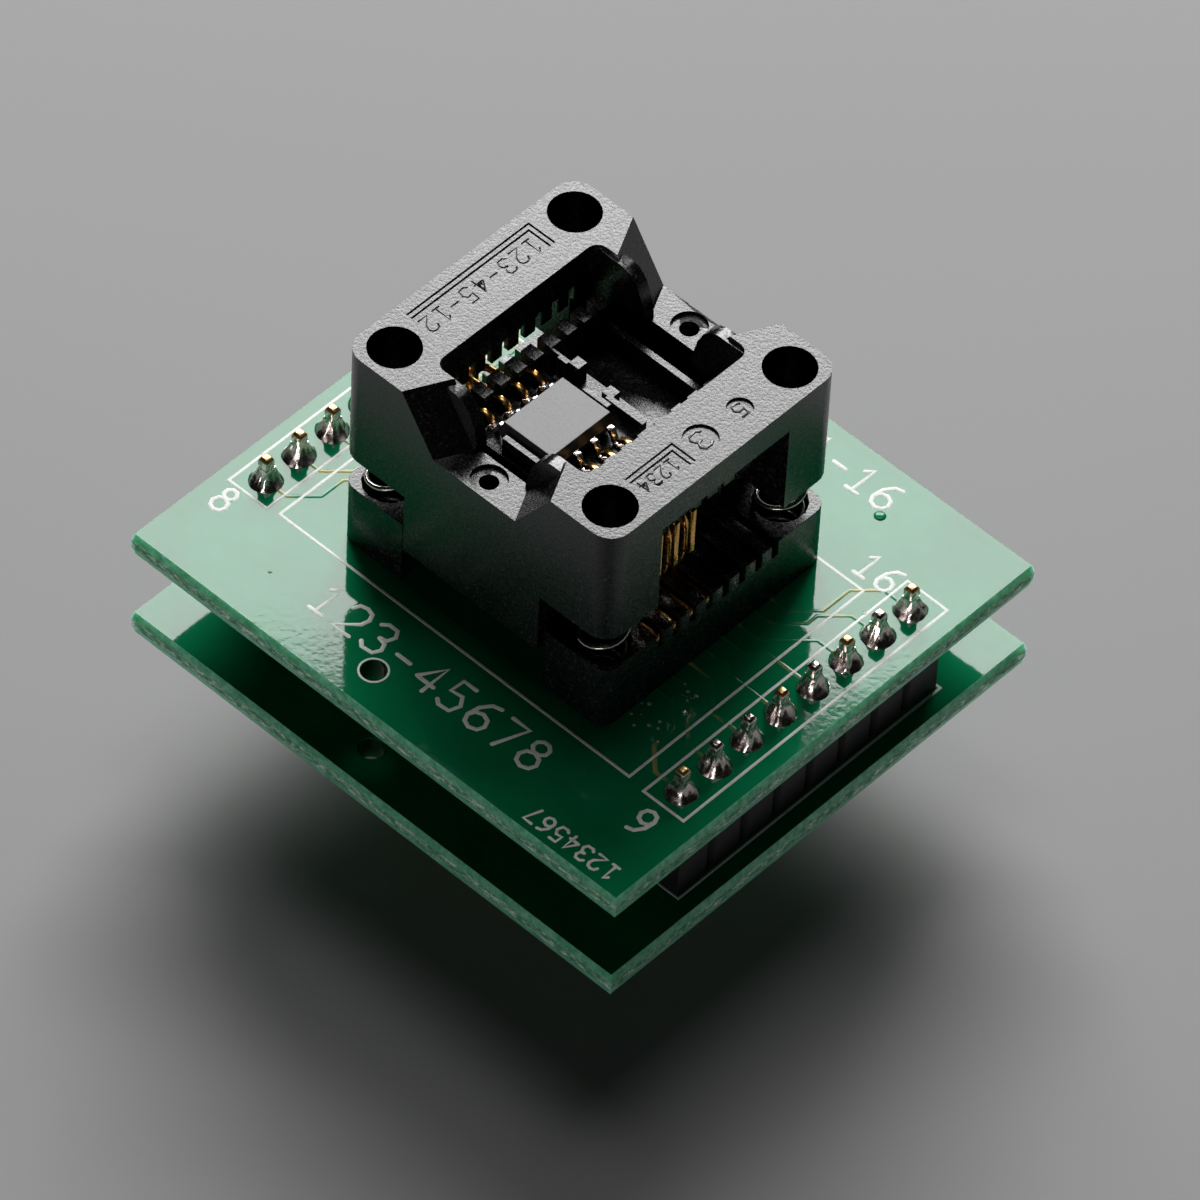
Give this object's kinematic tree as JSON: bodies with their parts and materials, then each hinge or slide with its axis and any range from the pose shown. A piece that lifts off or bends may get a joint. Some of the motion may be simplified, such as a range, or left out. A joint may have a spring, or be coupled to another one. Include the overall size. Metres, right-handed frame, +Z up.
{
  "type": "ic test socket",
  "caption": "Open-top test socket for a small chip on two stacked circuit boards with plug-in pins; a sprung cover presses down to spread its gold contacts.",
  "frame": {"origin": "centre of the boards' outline at the level of the plug pins' tips", "axes": "+Z up out of the socket, +X across the pin rows, +Y along them"},
  "size_m": [0.0356, 0.0326, 0.0315],
  "materials": {
    "green_board": "solder-masked glass-fibre board",
    "strip_plastic": "moulded, satin",
    "black_moulding": "glass-filled moulding, fine speckle",
    "chip_epoxy": "matte moulded epoxy",
    "gold_contact": "gold plated",
    "spring_wire": "drawn wire",
    "tinned_pin": "tinned and soldered, gold tips"
  },
  "bodies": {
    "base": {"upper_board": "green_board", "lower_board": "green_board", "link_strip_left": "strip_plastic", "link_strip_right": "strip_plastic", "plug_strip_left": "strip_plastic", "plug_strip_right": "strip_plastic", "socket_base": "black_moulding", "test_chip": "chip_epoxy", "spring_1": "spring_wire", "spring_2": "spring_wire", "spring_3": "spring_wire", "spring_4": "spring_wire", "link_pin_01": "tinned_pin", "link_pin_02": "tinned_pin", "link_pin_03": "tinned_pin", "link_pin_04": "tinned_pin", "link_pin_05": "tinned_pin", "link_pin_06": "tinned_pin", "link_pin_07": "tinned_pin", "link_pin_08": "tinned_pin", "link_pin_09": "tinned_pin", "link_pin_10": "tinned_pin", "link_pin_11": "tinned_pin", "link_pin_12": "tinned_pin", "link_pin_13": "tinned_pin", "link_pin_14": "tinned_pin", "link_pin_15": "tinned_pin", "link_pin_16": "tinned_pin", "plug_pin_01": "tinned_pin", "plug_pin_02": "tinned_pin", "plug_pin_03": "tinned_pin", "plug_pin_04": "tinned_pin", "plug_pin_05": "tinned_pin", "plug_pin_06": "tinned_pin", "plug_pin_07": "tinned_pin", "plug_pin_08": "tinned_pin", "plug_pin_09": "tinned_pin", "plug_pin_10": "tinned_pin", "plug_pin_11": "tinned_pin", "plug_pin_12": "tinned_pin", "plug_pin_13": "tinned_pin", "plug_pin_14": "tinned_pin", "plug_pin_15": "tinned_pin", "plug_pin_16": "tinned_pin"},
    "cover": {"socket_cover": "black_moulding"},
    "contacts_right": {"contact_right_1": "gold_contact", "contact_right_2": "gold_contact", "contact_right_3": "gold_contact", "contact_right_4": "gold_contact"},
    "contacts_left": {"contact_left_1": "gold_contact", "contact_left_2": "gold_contact", "contact_left_3": "gold_contact", "contact_left_4": "gold_contact"}
  },
  "joints": [
    {"name": "cover_press", "type": "slide", "parent": "base", "child": "cover", "axis": [0, 0, -1], "range_m": [0, 0.0022], "stiffness_N_per_m": 2000, "springref_m": -0.002, "deforming": ["spring_1", "spring_2", "spring_3", "spring_4"]},
    {"name": "contacts_right_open", "type": "hinge", "parent": "base", "child": "contacts_right", "pos_m": [0.00675, 0.00015, 0.0213], "axis": [0, 1, 0], "range_deg": [0, 8], "deforming": ["contact_right_1", "contact_right_2", "contact_right_3", "contact_right_4"]},
    {"name": "contacts_left_open", "type": "hinge", "parent": "base", "child": "contacts_left", "pos_m": [-0.00725, 0.00015, 0.0213], "axis": [0, -1, 0], "range_deg": [0, 8], "deforming": ["contact_left_1", "contact_left_2", "contact_left_3", "contact_left_4"]}
  ],
  "couplings": [
    {"joint": "contacts_right_open", "follows": "cover_press", "rad_per_m": 63.4},
    {"joint": "contacts_left_open", "follows": "cover_press", "rad_per_m": 63.4}
  ]
}
